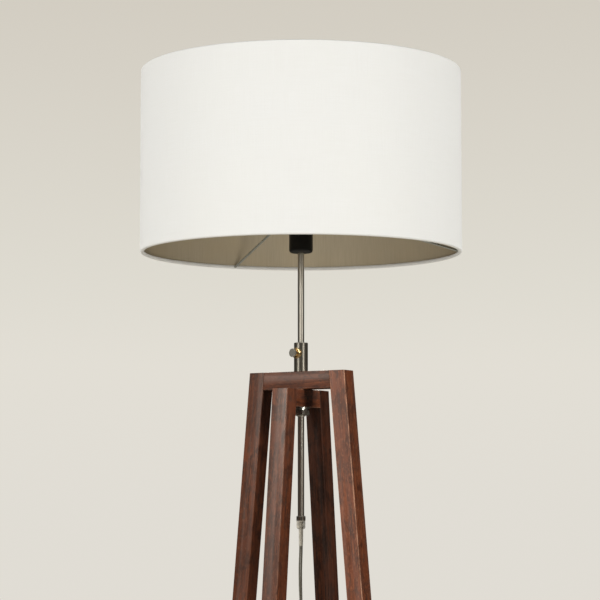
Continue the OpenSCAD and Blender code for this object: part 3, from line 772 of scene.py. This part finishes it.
def set_weave(piece):
    """Keeps each corner's place on the flat cloth: metres round the shade, then metres up."""
    weave = piece.data.attributes.new("weave", "FLOAT_VECTOR", "CORNER")
    for face in piece.data.polygons:
        middle = math.atan2(face.center.y, face.center.x)
        for loop in face.loop_indices:
            p = piece.data.vertices[piece.data.loops[loop].vertex_index].co
            turn = math.atan2(p.y, p.x)
            if turn - middle > math.pi:
                turn -= 2 * math.pi
            if middle - turn > math.pi:
                turn += 2 * math.pi
            across = math.hypot(p.x, p.y) * 0.9
            weave.data[loop].vector = (turn * SHADE_R, p.z + across, 0)


def wall_profile(inner, outer, low, high, steps=24):
    heights = [low + (high - low) * i / steps for i in range(steps + 1)]
    return [(outer, z) for z in heights] + [(inner, z) for z in reversed(heights)]


def hem_profile(ring_z, up):
    """The cloth's edge rolled round the wire and tucked in behind it; up is 1 at the bottom."""
    lip = SHADE_R - RING_R
    inner = RING_R + WIRE_R
    roll = arc((RING_R, 0), (lip, 2.3 * MM), 0, -90, 6) + arc(
        (RING_R, 0), (2.5 * MM, 2.3 * MM), -90, -215, 8
    )[1:]
    over = [
        (RING_R - 0.9 * MM, 2.4 * MM), (inner - 1.0 * MM, 3.0 * MM),
        (inner - 0.05 * MM, 3.5 * MM), (inner + 0.05 * MM, 0.6 * MM),
    ]
    return [(r, ring_z + up * z) for r, z in roll + over]


def make_shade():
    cover = new_piece("shade_cover_cloth", [(
        *sheet_skin(
            wall_profile(SHADE_R - COVER_T, SHADE_R, RING_LOW, RING_HIGH), 0.35 * MM, 0.35 * MM
        ), 0,
    )], [FINISH["fabric"]])
    lining = new_piece("shade_lining_foil", [(
        *sheet_skin(wall_profile(
            SHADE_R - COVER_T - LINING_T, SHADE_R - COVER_T - 0.02 * MM, RING_LOW, RING_HIGH
        )), 0,
    )], [FINISH["lining"]])
    hems = [
        new_piece(name, [(*sheet_skin(hem_profile(z, up)), 0)], [FINISH["fabric"]])
        for name, z, up in (
            ("shade_hem_bottom", RING_LOW, 1), ("shade_hem_top", RING_HIGH, -1)
        )
    ]
    for piece in [cover, lining, *hems]:
        set_weave(piece)
        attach(piece, "mast")
    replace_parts(cover, "shade_cover")
    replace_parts(lining, "shade_lining")
    return [cover, *hems], lining


shade_outside, shade_inside = make_shade()


# ---- Screw shell of the lampholder ----


def make_screw_shell():
    """Brass shell rolled to an E27 thread, open at the top, with an inward ledge at the foot."""
    low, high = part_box("screw_shell")
    crest, wall, depth, pitch = 13.3 * MM, 0.6 * MM, 0.9 * MM, 3.62 * MM
    sides, levels = 72, 96
    rings = []
    for level in range(levels + 1):
        z = low.z + wall + (high.z - low.z - wall) * level / levels
        fade = min(1.0, level / 8, (levels - level) / 5)
        ring = []
        for k in range(sides):
            turn = 2 * math.pi * k / sides
            wave = 0.5 - 0.5 * math.cos(2 * math.pi * (z / pitch) - turn)
            r = crest + wall - depth * wave * fade
            ring.append((r * math.cos(turn), r * math.sin(turn), z))
        rings.append(ring)
    inside = [
        [Vector((p[0], p[1], 0)) * (1 - wall / crest) + UP * p[2] for p in ring] for ring in rings
    ]
    ledge = crest - 4 * MM
    turns = [2 * math.pi * k / sides for k in range(sides)]
    foot = [
        [(r * math.cos(t), r * math.sin(t), z) for t in turns]
        for r, z in ((ledge, low.z + wall), (ledge, low.z), (crest + wall, low.z))
    ]
    skin = loft(foot + rings + inside[::-1], closed=True)
    shell = new_piece("screw_shell_thread", [(*skin, 0)], [FINISH["brass"]])
    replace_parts(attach(shell, "mast"), "screw_shell")


make_screw_shell()


# ---- Cord inside the mast and its gland ----


def make_inner_cord():
    low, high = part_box("inner_cord")
    steps = 24
    route = [UP * (low.z + (high.z - low.z) * i / steps) for i in range(steps + 1)]
    inner = make_cord("inner_cord_jacket", route)
    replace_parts(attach(inner, "cord_core"), "inner_cord")


make_inner_cord()


# ---- Foot switch ----

SWITCH_LOW, SWITCH_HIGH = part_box("switch_base")
SWITCH_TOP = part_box("switch_cover")[1].z
SWITCH_MIDDLE = (SWITCH_LOW + SWITCH_HIGH) / 2
SWITCH_W = SWITCH_HIGH.x - SWITCH_LOW.x
SWITCH_L = SWITCH_HIGH.y - SWITCH_LOW.y


def oblong_ring(inset, z):
    """A level ring round the switch, a rounded oblong with its length along Y."""
    r = SWITCH_W / 2 - inset
    straight = (SWITCH_L - SWITCH_W) / 2
    outline = [(x, y + straight) for x, y in arc((0, 0), r, 0, 180, 20)]
    outline += [(x, y - straight) for x, y in arc((0, 0), r, 180, 360, 20)]
    return [(SWITCH_MIDDLE.x + x, SWITCH_MIDDLE.y + y, z) for x, y in outline]


def make_switch():
    split = SWITCH_HIGH.z
    base = [
        (1.6, 0), (0.5, 0.3 * MM), (0, 1.4 * MM), (0, split - 0.5 * MM), (0.5, split - 0.05 * MM),
    ]
    top = [
        (0.5, split + 0.05 * MM), (0, split + 0.5 * MM), (0.1, SWITCH_TOP - 5 * MM),
        (0.8, SWITCH_TOP - 2.6 * MM), (2.2, SWITCH_TOP - 1.0 * MM), (4.4, SWITCH_TOP - 0.2 * MM),
        (6.6, SWITCH_TOP),
    ]
    made = []
    for name, levels in (("switch_base_shell", base), ("switch_cover_shell", top)):
        rings = [oblong_ring(inset * MM, z) for inset, z in levels]
        made.append(new_piece(name, [(*loft(rings), 0)], [FINISH["white_plastic"]], 50))
    button_low, button_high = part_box("switch_button")
    button_r = 11 * MM
    axis = Vector((SWITCH_MIDDLE.x, SWITCH_MIDDLE.y, 0))
    well_r, well_deep = 13 * MM, 20 * MM
    roof, well_floor = SWITCH_TOP - 2 * MM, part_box("switch_spring")[0].z
    drill(made[1], axis + UP * SWITCH_TOP, UP, button_r + 0.4 * MM, 18 * MM)
    drill(made[1], axis + UP * (roof - well_deep / 2), UP, well_r, well_deep)
    drill(made[0], axis + UP * (well_floor + well_deep / 2), UP, well_r, well_deep)
    for piece, node in zip(made, ("switch_base", "switch_cover")):
        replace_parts(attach(piece, "stand"), node)
    flange = (button_high.x - button_low.x) / 2
    foot, rim = button_low.z + 3.5 * MM, button_low.z + 7.1 * MM
    profile = [
        (0, button_low.z + 2.5 * MM), (6 * MM, button_low.z + 2.5 * MM), (6 * MM, button_low.z),
        (8 * MM, button_low.z), (8 * MM, foot), (flange, foot), (flange, rim), (button_r, rim),
    ]
    profile += arc((button_r - 1.5 * MM, button_high.z - 1.5 * MM), 1.5 * MM, 0, 90, 6)
    profile += [(7.5 * MM, button_high.z - 0.35 * MM), (4 * MM, button_high.z - 0.8 * MM),
                (0, button_high.z - 0.95 * MM)]
    skin = lathe(profile, 64, Matrix.Translation(axis))
    button = new_piece("switch_button_cap", [(*skin, 0)], [FINISH["white_plastic"]])
    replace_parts(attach(button, "foot_button"), "switch_button")
    return made, button


switch_shells, switch_button = make_switch()


def make_spring():
    """The coil spring under the foot button, with closed turns at both ends."""
    low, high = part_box("switch_spring")
    wire_r = 0.35 * MM
    coil_r = (high.x - low.x) / 2 - wire_r
    middle = (low + high) / 2
    turns, closed, steps = 6, 0.9, 24
    route = []
    for i in range(turns * steps + 1):
        angle = 2 * math.pi * i / steps
        rise = min(max((i / steps - closed) / (turns - 2 * closed), 0), 1)
        z = low.z + wire_r + rise * (high.z - low.z - 2.2 * wire_r)
        x, y = middle.x + coil_r * math.cos(angle), middle.y + coil_r * math.sin(angle)
        route.append(Vector((x, y, z)))
    spring = new_piece("switch_spring_coil", [(*tube(route, wire_r, 10), 0)], [FINISH["zinc"]])
    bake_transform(spring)
    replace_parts(spring, "switch_spring")
    return spring


switch_spring = make_spring()


def make_relief(name, node, direction):
    """A tapered strain relief with soft ribs, its foot in the housing."""
    low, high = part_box(node)
    axis = Vector(direction)
    middle = (low + high) / 2
    long = abs((high - low).dot(axis))
    start = middle - axis * (long / 2)
    thick = max((high - low) - Vector([abs(a) for a in axis]) * long) / 2
    bore, tip = CORD_D / 2 + 0.03 * MM, 3.3 * MM
    collar = long * 0.24
    profile = [(bore, 0), (thick, 0), (thick, collar - 0.6 * MM), (thick - 0.6 * MM, collar)]
    ribs = 6
    pitch = (long - collar - 1.5 * MM) / ribs
    for i in range(ribs):
        outer = thick - 0.9 * MM - (thick - 0.9 * MM - tip) * i / (ribs - 1)
        z = collar + 0.2 * MM + pitch * i
        profile += [
            (outer - 0.55 * MM, z), (outer - 0.55 * MM, z + 0.3 * pitch),
            (outer, z + 0.42 * pitch), (outer, z + 0.88 * pitch),
        ]
    profile += [(tip, long - 0.5 * MM), (tip - 0.3 * MM, long), (bore, long)]
    turn = UP.rotation_difference(axis).to_matrix().to_4x4()
    skin = lathe(profile, 40, Matrix.Translation(start) @ turn)
    relief = new_piece(name, [(*skin, 0)], [FINISH["white_plastic"]])
    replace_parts(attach(relief, "stand"), node)
    return relief


relief_in = make_relief("switch_relief_in", "switch_relief_front", (0, -1, 0))
relief_out = make_relief("switch_relief_out", "switch_relief_back", (0, 1, 0))
relief_plug = make_relief("plug_relief_ribbed", "plug_relief", (1, 0, 0))


# ---- Plug and tie ----


def make_plug():
    """A flat plug body that is waisted at the back and narrow round the pins."""
    low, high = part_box("plug_body")
    middle = (low + high) / 2
    stations = [
        (0, 12.0, 10.6), (0.5, 13.8, 12.0), (2, 15.6, 12.8), (6, 23.0, 13.3), (10, 30.0, 13.6),
        (13, 33.8, 13.6), (16, 35.0, 13.6), (19, 34.0, 13.6), (21.5, 30.5, 13.6),
        (23.5, 25.5, 13.4), (25.5, 23.2, 13.3), (30, 23.0, 13.2), (33.3, 22.8, 13.1),
        (34, 21.8, 12.0),
    ]
    rings = []
    for back, width, thick in stations:
        outline = rounded_rectangle(width * MM, thick * MM, min(5.2, thick * 0.42) * MM, 7)
        rings.append([(high.x - back * MM, middle.y + y, middle.z + z) for y, z in outline])
    plug = new_piece("plug_body_moulded", [(*loft(rings), 0)], [FINISH["white_plastic"]], 50)
    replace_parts(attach(plug, "stand"), "plug_body")
    return plug


plug_body = make_plug()


def make_tie():
    """A cable tie round all the turns of the coil: the band, its lock and the cut tail."""
    low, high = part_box("coil_tie")
    turn = math.radians(215)
    radial = Vector((math.cos(turn), math.sin(turn), 0))
    tangent = UP.cross(radial)
    centre = Vector((COIL_CENTRE[0], COIL_CENTRE[1], 0)) * MM + radial * 29 * MM
    centre.z = (low.z + high.z) / 2
    tall = high.z - low.z
    thick, band = 1.2 * MM, 4 * MM
    wide = 3 * CORD_D + 0.4 * MM + 2 * thick
    outer = rounded_rectangle(wide, tall, 3.6 * MM, 6)
    inner = rounded_rectangle(wide - 2 * thick, tall - 2 * thick, 2.4 * MM, 6)
    rings = []
    for (a, b), (c, d) in zip(outer, inner):
        rings.append([
            centre + radial * x + UP * z + tangent * (side * band / 2)
            for x, z, side in ((a, b, -1), (a, b, 1), (c, d, 1), (c, d, -1))
        ])
    lock = []
    for reach, inset in ((-0.3, 0.4), (0.2, 0), (3.4, 0), (4.0, 0.6)):
        outline = rounded_rectangle((6 - inset) * MM, (6 - inset) * MM, 0.9 * MM, 3)
        base = centre + radial * (wide / 2 + reach * MM)
        lock.append([base + tangent * u + UP * v for u, v in outline])
    tail = [
        [centre + radial * (wide / 2 + 1.9 * MM) + tangent * (band / 2 * u) + radial * w + UP * v
         for u, w in ((-1, -0.5 * MM), (1, -0.5 * MM), (1, 0.5 * MM), (-1, 0.5 * MM))]
        for v in (2.9 * MM, 5.4 * MM)
    ]
    skins = [(*loft(rings, closed=True), 0), (*loft(lock), 0), (*loft(tail), 0)]
    tie = new_piece("coil_tie_band", skins, [FINISH["white_plastic"]])
    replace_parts(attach(tie, "stand"), "coil_tie")
    return tie


coil_tie = make_tie()


# ---- What the cords are ----

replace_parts(lamp_cord, "cord_drop", "cord_to_switch")
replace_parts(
    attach(plug_cord, "stand"), "cord_to_coil", "cord_coil", "cord_to_plug"
)
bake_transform(lamp_cord)
route_length(lamp_route)
route_length(plug_route)


# ---- Studio ----


def ramp(tree, value, stops):
    """A colour ramp with the given (place, colour) stops."""
    made = add_node(tree, "ShaderNodeValToRGB", {"Fac": value})
    elements = made.color_ramp.elements
    while len(elements) > 1:
        elements.remove(elements[-1])
    elements[0].position, elements[0].color = stops[0]
    for position, colour in stops[1:]:
        elements.new(position).color = colour
    return made.outputs["Color"]


def make_world():
    """A pale backdrop for the eye, a dim soft room for light and a darker one for gloss."""
    world = bpy.data.worlds.new("studio")
    bpy.context.scene.world = world
    world.use_nodes = True
    tree = world.node_tree
    tree.nodes.clear()
    direction = add_node(tree, "ShaderNodeTexCoord").outputs["Generated"]
    height = add_node(tree, "ShaderNodeSeparateXYZ", {0: direction}).outputs["Z"]
    share = add_node(
        tree, "ShaderNodeMapRange", {"Value": height, "From Min": -1.0, "From Max": 1.0}
    ).outputs[0]
    backdrop = ramp(tree, share, [
        (0.0, rgb(0.70, 0.67, 0.62)), (0.40, rgb(0.745, 0.715, 0.655)),
        (0.50, rgb(0.750, 0.722, 0.662)), (0.532, rgb(0.762, 0.732, 0.664)),
        (0.550, rgb(0.732, 0.706, 0.634)), (0.612, rgb(0.650, 0.612, 0.540)),
        (1.0, rgb(0.55, 0.52, 0.47)),
    ])
    soft = ramp(tree, share, [
        (0.0, rgb(0.17, 0.16, 0.145)), (0.5, rgb(0.20, 0.195, 0.18)),
        (1.0, rgb(0.36, 0.35, 0.33)),
    ])
    gloss = ramp(tree, share, [
        (0.0, rgb(0.08, 0.075, 0.065)), (0.5, rgb(0.030, 0.027, 0.020)),
        (0.62, rgb(0.07, 0.065, 0.055)), (1.0, rgb(0.5, 0.49, 0.47)),
    ])
    ray = add_node(tree, "ShaderNodeLightPath").outputs
    first = add_node(tree, "ShaderNodeMix", {0: ray["Is Glossy Ray"]}, data_type="RGBA")
    second = add_node(tree, "ShaderNodeMix", {0: ray["Is Camera Ray"]}, data_type="RGBA")
    tree.links.new(soft, first.inputs[6])
    tree.links.new(gloss, first.inputs[7])
    tree.links.new(first.outputs[2], second.inputs[6])
    tree.links.new(backdrop, second.inputs[7])
    light = add_node(tree, "ShaderNodeBackground", {"Color": second.outputs[2]})
    add_node(tree, "ShaderNodeOutputWorld", {"Surface": light.outputs[0]})


make_world()


WARM = (1.0, 0.95, 0.85)
SHADE_TINT = (1.0, 1.0, 1.0)


def make_light(name, turn, height, distance, aim_z, size, power, colour=WARM):
    """A soft box at a turn in degrees from the camera, positive to the picture's right."""
    data = bpy.data.lights.new(name, "AREA")
    data.color = colour
    data.shape = "RECTANGLE"
    data.size, data.size_y = size
    data.energy = power
    light = bpy.data.objects.new(name, data)
    at = CAMERA_TURN + math.radians(turn)
    light.location = (distance * math.sin(at), -distance * math.cos(at), height)
    aim = Vector((0, 0, aim_z)) - light.location
    light.rotation_euler = aim.to_track_quat("-Z", "Y").to_euler()
    bpy.context.scene.collection.objects.link(light)
    return light


def link_light(light, pieces, state="INCLUDE"):
    """Lets a light reach only the given pieces, or all but them."""
    reached = bpy.data.collections.new(light.name + "_reach")
    for piece in pieces:
        reached.objects.link(piece)
    for entry in reached.collection_objects:
        entry.light_linking.link_state = state
    light.light_linking.receiver_collection = reached


def make_floor():
    """A pale disc that fades out, so that the floor has no edge."""
    radius, steps = 3.2, 96
    ring = [(radius * math.cos(t), radius * math.sin(t), -0.0002)
            for t in (2 * math.pi * k / steps for k in range(steps))]
    s = Surface("pale_floor", Specular_IOR_Level=0.2)
    place = s.place()
    clouds = s.noise(place, 2.5, 3, 0.5)
    s.feed("Base Color", s.mix(clouds, rgb(0.73, 0.71, 0.66), rgb(0.75, 0.73, 0.68)))
    s.feed("Roughness", s.spread(clouds, 0.3, 0.7, 0.66, 0.74))
    far = s.node("ShaderNodeVectorMath", {0: place}, operation="LENGTH").outputs["Value"]
    s.feed("Alpha", s.spread(far, 1.4, 3.0, 1, 0))
    floor = new_piece("floor", [(ring, [tuple(range(steps))], 0)], [s.material])
    return floor


floor = make_floor()


# Where the two soft boxes stand: turn, height, distance, aim and size
LEFT_BOX = (-49, 2.35, 3.1, 0.9, (1.3, 1.3))
RIGHT_BOX = (55, 2.25, 3.1, 0.9, (0.8, 1.3))
NARROW_LEFT_BOX = (*LEFT_BOX[:4], (0.5, 1.3))
BACK_BOX = (180, 2.2, 3.1, 0.9, (1.3, 1.3))
GLINT_SIZE = (0.25, 0.25)
STRIP_SIZE = (0.62, 1.4)
LOW_SIZE = (0.24, 0.7)
FERRULE_SIZE = (0.3, 0.7)
PANEL_SIZE = (1.4, 1.4)


def make_lights():
    """Soft boxes for the whole lamp, and lights of their own for what they would light wrongly."""
    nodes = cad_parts
    shade = [*shade_outside, shade_inside]
    arms = [nodes[name] for name in ("spider_arm_right", "spider_arm_left", "spider_arm_front")]
    mast, sleeve, ferrule = (nodes[n] for n in ("mast_tube", "clamp_sleeve", "gland_ferrule"))
    nut = [nodes[name] for name in ("clamp_nut", "lock_washer", "flat_washer")]
    reliefs = [relief_in, relief_out, relief_plug]
    on_floor = [floor, *switch_shells, switch_button, *reliefs, plug_body, coil_tie]
    left_out = [*shade, mast, sleeve, ferrule, back_leg, *on_floor]
    link_light(make_light("soft_box_left", *LEFT_BOX, 150), left_out, "EXCLUDE")
    link_light(make_light("soft_box_right", *RIGHT_BOX, 112), left_out, "EXCLUDE")
    link_light(make_light("floor_left", *LEFT_BOX, 64), on_floor)
    link_light(make_light("floor_right", *RIGHT_BOX, 49), on_floor)
    link_light(make_light("right_leg_left", *LEFT_BOX, 70), [legs[0]])
    link_light(make_light("wood_behind", *BACK_BOX, 75), [*legs, *rails])
    link_light(make_light("back_leg_left", *NARROW_LEFT_BOX, 26), [back_leg])
    link_light(make_light("back_leg_right", *RIGHT_BOX, 44), [back_leg])
    for tube_node, name, strips in (
        (mast, "mast", ((-28, 13), (42, 12))),
        (sleeve, "sleeve", ((-46, 8.4), (43, 8.2))),
    ):
        for turn, power in strips:
            strip_name = "%s_strip_%d" % (name, turn + 90)
            strip = make_light(strip_name, turn, 1.85, 2.6, 1.15, STRIP_SIZE, power)
            link_light(strip, [tube_node])
    link_light(make_light("strip_low", 10, 0.62, 2.6, 0.88, LOW_SIZE, 0.55), [mast])
    for turn, power in ((-40, 5), (35, 7)):
        glint = make_light("nut_glint_%d" % (turn + 90), turn, 0.9, 1.6, 0.96, GLINT_SIZE, power)
        link_light(glint, nut)
    link_light(make_light("ferrule_strip", 48, 0.85, 2.6, 0.8, FERRULE_SIZE, 0.8), [ferrule])
    for i in range(8):
        panel = make_light(
            "shade_panel_%d" % i, 45 * i, 1.4, 2.5, 1.35, PANEL_SIZE, 13.8, SHADE_TINT
        )
        link_light(panel, shade_outside)
    front = make_light("shade_front", 0, 1.5, 3.0, 1.35, PANEL_SIZE, 15.8, SHADE_TINT)
    link_light(front, shade_outside)
    bounce = make_light("lining_bounce", 0, 0.2, 1.8, 1.4, (0.9, 0.8), 31)
    link_light(bounce, [shade_inside])
    link_light(make_light("arm_light", 50, 0.4, 1.8, 1.3, (0.5, 0.5), 9), arms)


make_lights()


bpy.context.scene.view_settings.view_transform = "Standard"
